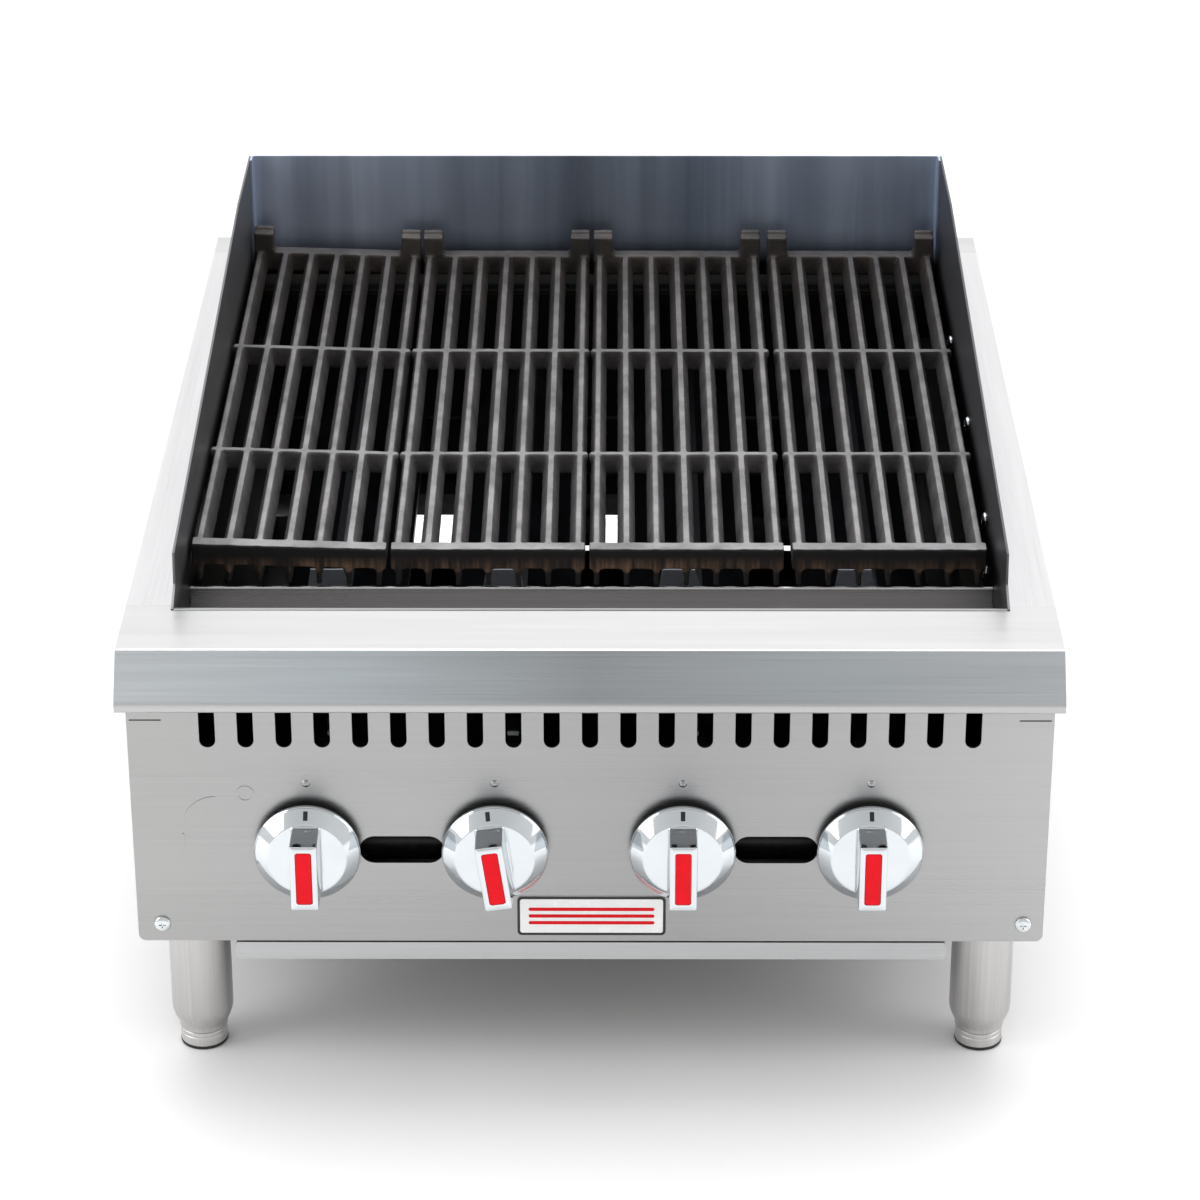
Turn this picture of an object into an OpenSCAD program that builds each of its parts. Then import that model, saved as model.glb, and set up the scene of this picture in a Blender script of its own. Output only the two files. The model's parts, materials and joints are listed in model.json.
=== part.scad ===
// Countertop gas charbroiler, 24-inch class, four burners.
// Lengths are in millimetres. X runs to the right, Y from front to back and Z up.
// The origin is on the surface it stands on, under the middle of the whole object.
// Inside the modules, y is counted from the front edge of the deck's top and z from that top.

/* [Body] */
// Width of the deck
deck_w = 610; // [590:1:640]
// Depth of the deck's top, from its front edge to the back
deck_d = 730; // [722:1:760]
// Height of the deck above the surface
deck_h = 331; // [316:1:400]
// Drop from the deck to the lower edge of the front panel
body_drop = 225.3; // [220:0.1:232]
// How far the body's sides stand in from the deck's edges
body_inset = 2.6; // [2:0.1:4]
// Thickness of the body's sheet metal
sheet = 1.5; // [1.2:0.1:2]

/* [Front rail and panel] */
// Height of the front rail, with its slope and its upright lip
rail_h = 35.4; // [35:0.1:40]
// Height of the rail's slope
rail_slope_h = 28; // [25:0.5:28]
// How far the slope brings the rail out in front of the deck's edge
rail_reach = 22; // [18:0.5:24]
// Setback of the panel's face behind the deck's edge
panel_setback = 12; // [10.5:0.5:14]
// Distance between vent slots
vent_pitch = 25; // [22:0.5:26]
// Width of a vent slot
vent_slot_w = 10.6; // [8:0.1:12]

/* [Cooking bay] */
// Width between the side guards
bay_w = 546.6; // [540:0.2:550]
// Depth of the deck in front of the bay
bay_front = 58; // [50:1:60]
// Distance from the deck's front edge to the back guard
bay_back = 706; // [704:1:708]
// Height of the back guard above the deck
guard_h = 78; // [60:1:110]
// Height of the side guards at their front ends
guard_nose_h = 30; // [20:1:45]
// Drop of the guards below the deck
guard_drop = 62; // [60:1:66]

/* [Grates] */
// Length of a grate, without the small change its slope makes
grate_l = 531; // [528:1:533]
// Nominal distance between neighbouring grates
grate_pitch = 135; // [134.6:0.2:135.4]
// Distance between neighbouring bars
bar_pitch = 20.4; // [19:0.1:20.4]
// Depth of a bar
bar_h = 28.1; // [26:0.1:30]
// Rise of the grates towards the back, in degrees
grate_slope = 1; // [0.5:0.1:1.2]
// Roll of the left grate, which sits up on its left side, in degrees
left_grate_roll = 1.7; // [0:0.1:1.8]

/* [Burners and gas] */
// Distance between neighbouring knobs
knob_pitch = 123.8; // [118:0.2:125]
// Height of the knobs' axes, counted down from the deck
knob_drop = 153; // [150:1:156]
// Distance from a knob's axis to its burner's axis
burner_shift = 9; // [0:0.5:10]
// Outer radius of a burner tube
burner_r = 16; // [14:0.5:18]
// Outer diameter of the gas pipe, three-quarter-inch pipe thread size
pipe_d = 26.67; // [26.67]

/* [Knobs] */
// Diameter of a knob's skirt
knob_d = 70.4; // [60:0.2:72]
// How far the second knob is turned on from its off mark, in degrees
second_knob_turn = 8; // [0:1:12]

/* [Legs and tray] */
// Diameter of a leg
leg_d = 42; // [38:0.1:44]
// Distance from the middle of the body to a leg's axis
leg_x = 267.4; // [262:0.1:270]
// Width of the drip tray
tray_w = 475; // [460:1:475]
// Length of the drip tray
tray_l = 606; // [560:1:606]

/* [Hidden] */
$fn = 64;
SIDES = ["left", "right"];
KNOBS = [1, 2, 3, 4];
// Each leg's name, its side and its row
LEGS = [["front_left", -1, 0], ["front_right", 1, 0], ["rear_left", -1, 1], ["rear_right", 1, 1]];

stainless = "lightgray";
cast_iron = "dimgray";

// Body
body_x = deck_w / 2 - body_inset;
body_z = -body_drop;
corner_r = 5;
panel_y = panel_setback;
panel_return = 19;
shell_y = panel_y + panel_return;
back_y = deck_d - sheet;
rear_flange_y = deck_d - 34;
top_bend = 3;
rail_bend = 8;
lip_bend = 2.5;
lip_h = 12;
ledge_front_y = bay_front + 6;

// Cooking bay
guard_x = bay_w / 2;
guard_flat_y = 600;
guard_toe_y = 77;
support_y = 153.5;
support_w = 3.6;
support_z = -31.4;
trough_z = -43;
box_x = 258;
box_front_y = support_y + support_w;
box_rear_y = 668;
box_z = -200;

// Grates
grate_y = 155;
grate_half_w = 66;
// How far each grate lies off its nominal place
grate_offset = [-3.2, -2.6, -2.8, -0.2];
bar_count = 7;
bar_top_w = 4.2;
bar_waist_w = 12.4;
bar_foot_w = 3.4;
bar_waist_z = -13.5;
grate_lip_d = 11;
grate_lip_h = 15.5;
grate_back_h = 16;
cross_bar_y = [153, 334];
cross_bar_t = 5;
cross_bar_h = 15.5;
cross_bar_end = 1.2;
lug_w = 15.5;
rest_gap = 0.3;
rest_rear_z = support_z + (box_rear_y - grate_y) * tan(grate_slope);

// Burners and gas
// How far the row of knobs stands off the body's middle
knob_shift = -1;
knob_x = [for (n = KNOBS) (n - 2.5) * knob_pitch + knob_shift];
burner_x = [for (x = knob_x) x + burner_shift];
knob_z = -knob_drop;
burner_mouth_y = 118;
burner_end_y = 650;
burner_wall = 2.5;
shutter_y = 134;
shutter_w = 18;
shutter_gap = 0.3;
radiant_y = [240, 648];
radiant_half_w = 43.5;
radiant_peak_z = -78;
radiant_foot_z = -118;
radiant_tab_z = -60;
pipe_r = pipe_d / 2;
pipe_z = knob_z - 23;
manifold_y = 62;
manifold_half_l = 256;
pipe_bend_r = 24;
supply_x = manifold_half_l + pipe_bend_r;
inlet_y = deck_d + 35;
inlet_free_l = 29;
inlet_bore_r = 10.5;
pilot_r = 3.2;
pilot_x = [for (s = [-1, 1]) s * knob_pitch + knob_shift + burner_shift];
valve_r = 11;
valve_nose_y = 24;
valve_y = [38, 72];
spud_tip_y = 112;

// Knobs, counted outwards from the panel's face
knob_gap = 6;
knob_rim_h = 8.5;
knob_face_h = 17;
knob_face_r = 26.4;
knob_top = 42.3;
handle_w = 18;
handle_l = 47.5;
insert_w = 10.4;
insert_l = 38.4;
insert_t = 2;
stem_r = 4;
stem_end = valve_nose_y - panel_y - 0.3;

// Legs and tray
leg_y = [57, deck_d - 26];
leg_neck_r = 16.6;
leg_shoulder_z = -303;
leg_end_z = -318;
leg_bore_r = 8.3;
leg_bore_top_z = body_z - 6;
foot_r = 15.8;
foot_stem_r = 8;
foot_stem_l = 55;
pad_r = 16.3;
pad_h = 2.6;
tray_y = 14;
tray_top_z = body_z - 2.5;
tray_floor_z = body_z - 15.5;
tray_lip_w = tray_w + 2;
runner_y = [75, 700];
runner_drop = 18;

// The whole object's middle, so that the origin lies under it
front_y = panel_y - knob_top;
mid_y = (front_y + inlet_y) / 2;

// ---- placing ----

module place() translate([0, -mid_y, deck_h]) children();

// A y-z outline, drawn out along x and centred on it
module along_x(length) rotate([90, 0, 90]) linear_extrude(length, center = true) children();

// An x-z outline, drawn back along y from y
module along_y(y, length) translate([0, y + length, 0]) rotate([90, 0, 0]) linear_extrude(length) children();

// A solid of revolution whose axis points to the back; its outline is [radius, y]
module round_y(x, z) translate([x, 0, z]) rotate([-90, 0, 0]) rotate_extrude($fn = 96) children();

module mirror_x(s) mirror([s < 0 ? 1 : 0, 0, 0]) children();
module on_side(side) mirror_x(side == "left" ? -1 : 1) children();

module block(x, y, z) translate([x[0], y[0], z[0]]) cube([x[1] - x[0], y[1] - y[0], z[1] - z[0]]);

// ---- outlines ----

// A quarter of a bent sheet's corner, in the quadrant to the left of and above its centre
module elbow(outer, t) intersection() {
    difference() {
        circle(outer);
        circle(outer - t);
    }
    translate([-outer, 0]) square(outer);
}

module obround(w, h) {
    d = min(w, h);
    square(w > h ? [w - d, h] : [w, h - d], center = true);
    for (s = [-1, 1]) translate(w > h ? [s * (w - d) / 2, 0] : [0, s * (h - d) / 2]) circle(d = d);
}

module rounded(w, h, r) {
    square([w - 2 * r, h], center = true);
    square([w, h - 2 * r], center = true);
    for (x = [-1, 1], y = [-1, 1]) translate([x * (w / 2 - r), y * (h / 2 - r)]) circle(r);
}

// ---- deck and body ----

// The rail's three bends, each with its centre, its outer radius and the angles where it starts and ends
rail_slope = atan2(rail_slope_h, rail_reach);
top_bend_at = [top_bend * tan(rail_slope / 2), -top_bend];
rail_bend_at = [rail_bend - rail_reach, -rail_slope_h - rail_bend * tan(45 - rail_slope / 2)];
lip_bend_at = [lip_bend - rail_reach, lip_bend - rail_h];
rail_bends = [
    [top_bend_at, top_bend, 0, rail_slope],
    [rail_bend_at, rail_bend, rail_slope, 90],
    [lip_bend_at, lip_bend, 90, 180]
];

// Points on an arc, with angles counted from straight up towards the front
function arc_points(centre, r, from, to, steps = 6) =
    [for (i = [0:steps]) let (a = from + (to - from) * i / steps) centre + r * [-sin(a), cos(a)]];

// The rail's surface at an inset: over the deck's edge, down the slope and the upright lip, and back under it
function rail_line(inset) = concat(
    [for (bend = rail_bends) each arc_points(bend[0], bend[1] - inset, bend[2], bend[3])],
    [[shell_y, inset - rail_h]]
);
function backwards(line) = [for (i = [len(line) - 1:-1:0]) line[i]];

module rail_outline() polygon(concat(
    [[bay_front - top_bend, 0]],
    rail_line(0),
    backwards(rail_line(sheet)),
    [[bay_front - top_bend, -sheet]]
));

// The rail's end cap, whose outline runs inside the sheet
module rail_end_outline() polygon(concat(
    [[ledge_front_y, -sheet / 2]],
    rail_line(sheet / 2),
    [[shell_y, -lip_h], [ledge_front_y, -lip_h]]
));

// The edge of the deck that turns down into the bay
module bay_edge_outline() {
    translate([bay_front - top_bend, -top_bend]) mirror([1, 0]) elbow(top_bend, sheet);
    translate([bay_front - sheet, -lip_h]) square([sheet, lip_h - top_bend]);
}

module front_deck() color(stainless) place() {
    along_x(deck_w) rail_outline();
    along_x(bay_w + 2 * sheet) bay_edge_outline();
    for (s = [-1, 1]) {
        translate([s * (deck_w - sheet) / 2, 0, 0]) along_x(sheet) rail_end_outline();
        mirror_x(s) block([guard_x + sheet, deck_w / 2], [bay_front - top_bend, ledge_front_y], [-sheet, 0]);
    }
}

module switch_marks() {
    // A raised ring for off, a raised bar for on, and the arc between them
    ring_at = [-227, -113];
    bar_at = [-269, -149];
    arc_r = 22;
    line_w = 1.4;
    translate(ring_at) difference() {
        circle(6);
        circle(6 - line_w);
    }
    translate(bar_at) square([line_w, 12], center = true);
    translate([ring_at[0] - 20, -137]) intersection() {
        difference() {
            circle(arc_r);
            circle(arc_r - line_w);
        }
        translate([-arc_r, 0]) square([arc_r, arc_r]);
    }
}

module panel_openings() {
    vent_h = 32;
    vent_bottom = -78.2;
    port = [56, 20.3];
    port_z = -155;
    stem_hole_r = 6.5;
    slit = [21, 0.9];
    for (i = [-10:10]) translate([i * vent_pitch, vent_bottom + vent_h / 2]) obround(vent_slot_w, vent_h);
    for (s = [-1, 1]) {
        translate([s * knob_pitch + knob_shift, port_z]) obround(port[0], port[1]);
        translate([s * 290, -58]) square(slit, center = true);
    }
    for (x = knob_x) translate([x, knob_z]) circle(stem_hole_r);
}

module control_panel() color(stainless) place() {
    panel_h = body_drop - rail_h;
    emboss = 0.4;
    pip_r = 3.2;
    pip_z = -105.1;
    along_y(panel_y, sheet) difference() {
        intersection() {
            translate([0, body_z + body_drop / 2]) rounded(2 * body_x, body_drop, corner_r);
            translate([-body_x, body_z]) square([2 * body_x, panel_h]);
        }
        panel_openings();
    }
    along_y(panel_y - emboss, emboss) switch_marks();
    for (x = knob_x) intersection() {
        translate([x, panel_y + 1.6, pip_z]) sphere(pip_r);
        translate([x - 5, panel_y - 5, pip_z - 6]) cube([10, 5 + sheet, 12]);
    }
    for (s = [-1, 1]) mirror_x(s)
        block([body_x - sheet, body_x], [panel_y, shell_y], [body_z + corner_r, -rail_h]);
    block([corner_r - body_x, body_x - corner_r], [panel_y, shell_y], [body_z, body_z + sheet]);
}

module nameplate() color("white") place() {
    plate_t = 0.8;
    size = [99, 29.6];
    along_y(panel_y - plate_t, plate_t) translate([0.7, -205.6]) rounded(size[0], size[1], 3);
}

module side_panel(side) color(stainless) place() on_side(side) {
    block([body_x - sheet, body_x], [shell_y, back_y], [body_z, -sheet]);
    block([tray_w / 2 + 2, body_x], [86, 676], [body_z, body_z + sheet]);
}

module side_ledge(side) color(stainless) place() on_side(side) {
    y = [ledge_front_y, rear_flange_y];
    block([guard_x + sheet, deck_w / 2], y, [-sheet, 0]);
    block([deck_w / 2 - sheet, deck_w / 2], y, [-lip_h, 0]);
}

module rear_panel() color(stainless) place() {
    flue = [8, 60];
    along_y(back_y, sheet) difference() {
        translate([-body_x, body_z]) square([2 * body_x, body_drop]);
        for (i = [-9:9]) translate([i * vent_pitch, -70]) obround(flue[0], flue[1]);
        translate([supply_x, pipe_z]) circle(pipe_r + 1.5);
    }
    block([-deck_w / 2, deck_w / 2], [bay_back + sheet, deck_d], [-sheet, 0]);
    for (s = [-1, 1]) mirror_x(s) {
        block([guard_x + sheet, deck_w / 2], [rear_flange_y, bay_back + sheet], [-sheet, 0]);
        block([deck_w / 2 - sheet, deck_w / 2], [rear_flange_y, deck_d], [-lip_h, 0]);
    }
}

// ---- cooking bay ----

module guard_side(side) color("slategray") place() on_side(side)
    translate([guard_x + sheet / 2, 0, 0]) along_x(sheet) polygon([
        [bay_front, -guard_drop],
        [bay_front, 0],
        [guard_toe_y, 9],
        [guard_toe_y + 3, guard_nose_h],
        [guard_flat_y, guard_h],
        [bay_back, guard_h],
        [bay_back, -guard_drop]
    ]);

// The back guard, whose ends turn forward along the side guards
module guard_back() color("slategray") place() translate([0, 0, -guard_drop]) linear_extrude(guard_h + guard_drop) {
    bend = 3.5;
    back_face = bay_back + sheet;
    translate([bend - guard_x, bay_back]) square([2 * (guard_x - bend), sheet]);
    for (s = [0, 1]) mirror([s, 0]) {
        translate([bend - guard_x, back_face - bend]) elbow(bend, sheet);
        translate([-guard_x, bay_back - 10]) square([sheet, 10 + sheet - bend]);
    }
}

module trough_outline() {
    bend = 3;
    hem = support_w / 2;
    foot_z = support_z - lip_h;
    translate([bay_front, trough_z + bend]) square([sheet, -trough_z - bend]);
    translate([bay_front + bend, trough_z + bend]) mirror([0, 1]) elbow(bend, sheet);
    translate([bay_front + bend, trough_z]) square([support_y - bay_front - bend, sheet]);
    translate([support_y, trough_z]) square([sheet, support_z - trough_z - hem]);
    translate([support_y + hem, support_z - hem]) elbow(hem, sheet);
    translate([box_front_y - hem, support_z - hem]) mirror([1, 0]) elbow(hem, sheet);
    translate([box_front_y - sheet, foot_z]) square([sheet, support_z - foot_z - hem]);
}

module drip_trough() color(stainless) place() along_x(bay_w - 0.6) trough_outline();

module grate_rest_rear() color(stainless) place() {
    half_w = guard_x - sheet - 2.3;
    y = box_rear_y + sheet;
    block([-half_w, half_w], [y, bay_back], [rest_rear_z - sheet, rest_rear_z]);
    block([-half_w, half_w], [y, y + sheet], [rest_rear_z - 28, rest_rear_z]);
}

module firebox_front() color("gray") place() along_y(box_front_y, sheet) difference() {
    translate([-box_x - sheet, box_z]) square([2 * (box_x + sheet), support_z - 4 - box_z]);
    for (x = burner_x) translate([x, knob_z]) circle(burner_r + shutter_gap);
    for (x = pilot_x) translate([x, pipe_z]) circle(pilot_r + shutter_gap);
}

module firebox_rear() color("gray") place()
    block([-box_x - sheet, box_x + sheet], [box_rear_y, box_rear_y + sheet], [box_z, rest_rear_z - 2]);

module firebox_side(side) color("gray") place() on_side(side) {
    y = [box_front_y + sheet, box_rear_y];
    block([box_x, box_x + sheet], y, [box_z, -guard_drop]);
    block([box_x, guard_x + sheet], y, [-guard_drop - sheet, -guard_drop]);
}

// Bars across the firebox: two under the radiants and one under the burners' ends
module burner_rests() color("gray") place() {
    bar = 6;
    for (y = [radiant_y[0] + 8, radiant_y[1] - 14])
        block([-box_x, box_x], [y, y + bar], [radiant_foot_z - bar, radiant_foot_z]);
    block([-box_x, box_x], [burner_end_y - 12, burner_end_y - 6], [knob_z - burner_r - bar, knob_z - burner_r]);
}

// ---- grates ----

// Half-widths of a bar at its top, its waist and its foot, narrowing in a hollow below the waist
module bar_outline() polygon(concat(
    [for (p = bar_side()) [p[0], p[1]]],
    [for (i = [len(bar_side()) - 1:-1:0]) [-bar_side()[i][0], bar_side()[i][1]]]
));
function bar_side() = [
    [bar_top_w / 2, 0],
    [bar_waist_w / 2, bar_waist_z],
    [bar_waist_w / 2 - 0.4, bar_waist_z - 1.5],
    [2.5, bar_waist_z - 2.5],
    [1.8, bar_waist_z - 6.5],
    [bar_foot_w / 2, -bar_h]
];

module grate_lip() polygon([
    [0, -1],
    [1, 0],
    [grate_lip_d, 0],
    [grate_lip_d, -grate_lip_h],
    [1.5, -grate_lip_h],
    [0, 1 - grate_lip_h]
]);

// The lug at a rear corner, which stands up from the grate and flares at its foot
module lug_outline() polygon([
    [grate_half_w, -2],
    [grate_half_w, 15.5],
    [grate_half_w - lug_w, 15.5],
    [grate_half_w - lug_w, 3],
    [grate_half_w - lug_w - 1.5, 0],
    [grate_half_w - lug_w - 1.5, -2]
]);

// A grate with its top's front edge at the origin
module grate_body() {
    lug_d = 13;
    intersection() {
        for (i = [0:bar_count - 1]) translate([(i - (bar_count - 1) / 2) * bar_pitch, 0, 0])
            along_y(0.3, grate_l - 1.8) bar_outline();
        block([-grate_half_w, grate_half_w], [0, grate_l], [-bar_h - 1, 1]);
    }
    along_x(2 * grate_half_w) grate_lip();
    block([-grate_half_w, grate_half_w], [grate_l - lug_d, grate_l], [-grate_back_h, 0]);
    for (y = cross_bar_y) {
        block([-grate_half_w, grate_half_w], [y - cross_bar_t / 2, y + cross_bar_t / 2], [-cross_bar_h, 0]);
        block([-grate_half_w - cross_bar_end, grate_half_w + cross_bar_end], [y - 2, y + 2], [-5, -0.5]);
    }
    for (s = [-1, 1]) mirror_x(s) {
        along_y(grate_l - lug_d, lug_d) lug_outline();
        block([grate_half_w - lug_w, grate_half_w], [grate_l - 5, grate_l], [0, 18]);
    }
}

module grate(n) color(cast_iron) place() {
    roll = n == 1 ? left_grate_roll : 0;
    x = (n - 2.5) * grate_pitch + grate_offset[n - 1];
    foot_x = x + (bar_count - 1) / 2 * bar_pitch;
    foot_z = support_z + rest_gap;
    translate([foot_x, grate_y, foot_z]) rotate([grate_slope, roll, 0])
        translate([x - foot_x, 0, bar_h]) grate_body();
}

// ---- burners and gas ----

// A roof over a burner, with a tab on its front edge behind the knob
module radiant(n) color("darkgray") place() translate([burner_x[n - 1], 0, 0]) {
    flat = 8;
    skirt = 7;
    tab = [-burner_shift, 11.5];
    roof = [
        [0, radiant_peak_z],
        [flat, radiant_peak_z],
        [radiant_half_w, radiant_foot_z + skirt],
        [radiant_half_w, radiant_foot_z],
        [radiant_half_w - sheet, radiant_foot_z],
        [radiant_half_w - sheet, radiant_foot_z + skirt - sheet],
        [flat, radiant_peak_z - 2 * sheet],
        [0, radiant_peak_z - 2 * sheet]
    ];
    for (s = [-1, 1]) mirror_x(s) along_y(radiant_y[0], radiant_y[1] - radiant_y[0]) polygon(roof);
    along_y(radiant_y[0], sheet) polygon([
        [tab[0] - tab[1], radiant_tab_z],
        [tab[0] + tab[1], radiant_tab_z],
        [tab[0] + tab[1] + 4.5, radiant_peak_z - 1],
        [tab[0], radiant_peak_z - 1],
        [tab[0] - tab[1] - 6, radiant_peak_z - 18]
    ]);
}

module burner(n) color(cast_iron) place() {
    bore_r = burner_r - burner_wall;
    mouth_r = 21;
    round_y(burner_x[n - 1], knob_z) polygon([
        [bore_r + 5, burner_mouth_y],
        [mouth_r, burner_mouth_y],
        [burner_r, burner_mouth_y + 8],
        [burner_r, burner_end_y],
        [0, burner_end_y],
        [0, burner_end_y - burner_wall],
        [bore_r, burner_end_y - burner_wall],
        [bore_r, burner_mouth_y + 8]
    ]);
    block(
        [burner_x[n - 1] - 4, burner_x[n - 1] + 4],
        [radiant_y[0], burner_end_y - 20],
        [knob_z + burner_r - 1.5, knob_z + burner_r + 3]
    );
}

module air_shutter(n) color("silver") place() {
    tab = [8, 12];
    ring_r = burner_r + 2.2;
    difference() {
        union() {
            round_y(burner_x[n - 1], knob_z) translate([0, shutter_y]) square([ring_r, shutter_w]);
            block(
                [burner_x[n - 1] - tab[0] / 2, burner_x[n - 1] + tab[0] / 2],
                [shutter_y + 3, shutter_y + 5],
                [knob_z, knob_z + ring_r + tab[1]]
            );
        }
        round_y(burner_x[n - 1], knob_z) translate([0, shutter_y - 1]) square([burner_r + shutter_gap, shutter_w + 2]);
    }
}

module gas_manifold() color("black") place() translate([0, manifold_y, pipe_z]) rotate([0, 90, 0]) {
    cylinder(h = 2 * manifold_half_l, r = pipe_r, center = true);
    translate([0, 0, -manifold_half_l]) cylinder(h = 18, r = pipe_r + 3.2);
}

// The pipe from the manifold to the inlet at the back, with a lock nut behind the rear panel
module supply_pipe() color("black") place() {
    bore_l = 25;
    collar_l = 20;
    collar_r = pipe_r + 3.2;
    bend_y = manifold_y + pipe_bend_r;
    nut_r = pipe_r + 7;
    nut_w = 5.5;
    difference() {
        union() {
            translate([manifold_half_l, bend_y, pipe_z]) rotate([0, 0, -90])
                rotate_extrude(angle = 90) translate([pipe_bend_r, 0]) circle(collar_r);
            translate([supply_x, bend_y, pipe_z]) rotate([-90, 0, 0]) cylinder(h = collar_l, r = collar_r);
            translate([supply_x, bend_y, pipe_z]) rotate([-90, 0, 0]) cylinder(h = inlet_y - bend_y, r = pipe_r);
            along_y(inlet_y - inlet_free_l - nut_w, nut_w) translate([supply_x, pipe_z])
                polygon([for (a = [0:60:300]) nut_r * [cos(a), sin(a)]]);
        }
        translate([supply_x, inlet_y - bore_l, pipe_z]) rotate([-90, 0, 0]) cylinder(h = bore_l + 1, r = inlet_bore_r);
    }
}

module gas_valve(x) {
    nose_r = 7;
    spud_r = 6;
    block_w = 30;
    block_d = 16;
    round_y(x, knob_z) {
        translate([0, valve_nose_y]) square([nose_r, valve_y[0] - valve_nose_y]);
        translate([0, valve_y[0]]) square([valve_r, valve_y[1] - valve_y[0]]);
    }
    block(
        [x - valve_r, x - valve_r + block_w],
        [valve_y[1] - block_d, valve_y[1]],
        [knob_z - 9, knob_z + 9]
    );
    translate([x, manifold_y, pipe_z + pipe_r - 4]) cylinder(h = 14, r = 8);
    round_y(x + burner_shift, knob_z) polygon([
        [0, valve_y[1] - 4],
        [spud_r, valve_y[1] - 4],
        [spud_r, spud_tip_y - 10],
        [3, spud_tip_y],
        [0, spud_tip_y]
    ]);
}

// A tube from the manifold into the firebox, turned up between two burners
module pilot_tube(x) {
    end_y = 196;
    bend_r = 14;
    rise = 30;
    round_y(x, pipe_z) translate([0, manifold_y + pipe_r - 2]) square([pilot_r, end_y - manifold_y - pipe_r + 2]);
    translate([x, end_y, pipe_z + bend_r]) rotate([0, 90, 0])
        rotate_extrude(angle = 90) translate([bend_r, 0]) circle(pilot_r);
    translate([x, end_y + bend_r, pipe_z + bend_r]) {
        cylinder(h = rise, r = pilot_r);
        translate([0, 0, rise - 10]) cylinder(h = 10, r = pilot_r + 2);
    }
}

module pilot_tubes() color("silver") place() for (x = pilot_x) pilot_tube(x);

module gas_valves() color("goldenrod") place() for (x = knob_x) gas_valve(x);

// ---- knobs ----

// A knob with its axis on z and the panel's face at zero
module knob_body() {
    slope_r = knob_d / 2 - 0.5;
    difference() {
        union() {
            rotate_extrude($fn = 96) polygon([
                [0, knob_gap],
                [knob_d / 2, knob_gap],
                [knob_d / 2, knob_rim_h],
                [slope_r, knob_rim_h + 0.6],
                [knob_face_r, knob_face_h],
                [0, knob_face_h]
            ]);
            translate([0, 0, knob_gap + 2]) linear_extrude(knob_top - knob_gap - 2) rounded(handle_w, handle_l, 1.2);
            translate([0, 0, -stem_end]) cylinder(h = stem_end + knob_gap + 2, r = stem_r);
        }
        translate([0, 0, knob_top - insert_t]) linear_extrude(insert_t + 1) rounded(insert_w, insert_l, 1.5);
    }
}

module on_panel(n) {
    turn = n == 2 ? second_knob_turn : 0;
    place() translate([knob_x[n - 1], panel_y, knob_z]) rotate([90, 0, 0]) rotate([0, 0, turn]) children();
}

module knob(n) color("silver") on_panel(n) knob_body();

module knob_insert(n) color("red") on_panel(n)
    translate([0, 0, knob_top - insert_t]) linear_extrude(insert_t) rounded(insert_w - 0.1, insert_l - 0.1, 1.45);

// ---- base, legs and tray ----

module base_rail_outline(y0, y1) {
    rail_t = 2.5;
    flange = 20;
    translate([y0, body_z]) square([y1 - y0, rail_t]);
    translate([y0, body_z]) square([rail_t, flange]);
    translate([y1 - rail_t, body_z]) square([rail_t, flange]);
}

module base_rail_front() color("gray") place() along_x(2 * (body_x - sheet)) base_rail_outline(shell_y, 82);

// The rear rail carries two plates that the pushed-in tray stops against
module base_rail_rear() color("gray") place() {
    stops = [[-22, 0], [116, 176]];
    along_x(2 * (body_x - sheet)) base_rail_outline(682, back_y);
    for (x = stops) block(x, [tray_y + tray_l + 4, 684], [body_z, body_z + sheet]);
}

module at_leg(which) place() translate([which[1] * leg_x, leg_y[which[2]], 0]) children();

module leg(which) color(stainless) at_leg(which) rotate_extrude($fn = 96) difference() {
    union() {
        translate([0, leg_shoulder_z]) square([leg_d / 2, body_z - leg_shoulder_z]);
        polygon([
            [0, leg_end_z],
            [leg_neck_r, leg_end_z],
            [leg_neck_r, leg_end_z + 3],
            [leg_neck_r + 2, leg_end_z + 7],
            [leg_d / 2 - 0.8, leg_shoulder_z - 3],
            [leg_d / 2, leg_shoulder_z],
            [0, leg_shoulder_z]
        ]);
    }
    translate([0, leg_end_z - 1]) square([leg_bore_r, leg_bore_top_z - leg_end_z + 1]);
}

module foot(which) color("silver") at_leg(which) rotate_extrude($fn = 96) union() {
    translate([0, -deck_h]) square([pad_r, pad_h]);
    translate([0, -deck_h + pad_h]) square([foot_r, leg_end_z - 0.3 + deck_h - pad_h]);
    translate([0, leg_end_z - 1]) square([foot_stem_r, foot_stem_l]);
}

module drip_tray() color(stainless) place() {
    half_w = tray_w / 2;
    y = [tray_y, tray_y + tray_l];
    z = [tray_floor_z, tray_top_z];
    block([-half_w, half_w], y, [z[0], z[0] + sheet]);
    for (s = [-1, 1]) mirror_x(s) block([half_w - sheet, half_w], y, z);
    block([-half_w, half_w], [y[1] - sheet, y[1]], z);
    along_y(tray_y, sheet) translate([0, (z[0] + z[1]) / 2]) rounded(tray_lip_w, z[1] - z[0], 3);
}

module tray_runner(side) color("gray") place() on_side(side) {
    inner = tray_w / 2 + 2;
    block([inner, inner + sheet], runner_y, [body_z - runner_drop, body_z]);
    block([inner - 14, inner + sheet], runner_y, [body_z - runner_drop, tray_floor_z - 0.3]);
}

// ---- fasteners ----

module pan_head(r, h) rotate_extrude($fn = 48) polygon([
    [0, 0],
    [r, 0],
    [r, h * 0.45],
    [r * 0.8, h * 0.85],
    [r * 0.45, h],
    [0, h]
]);

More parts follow.
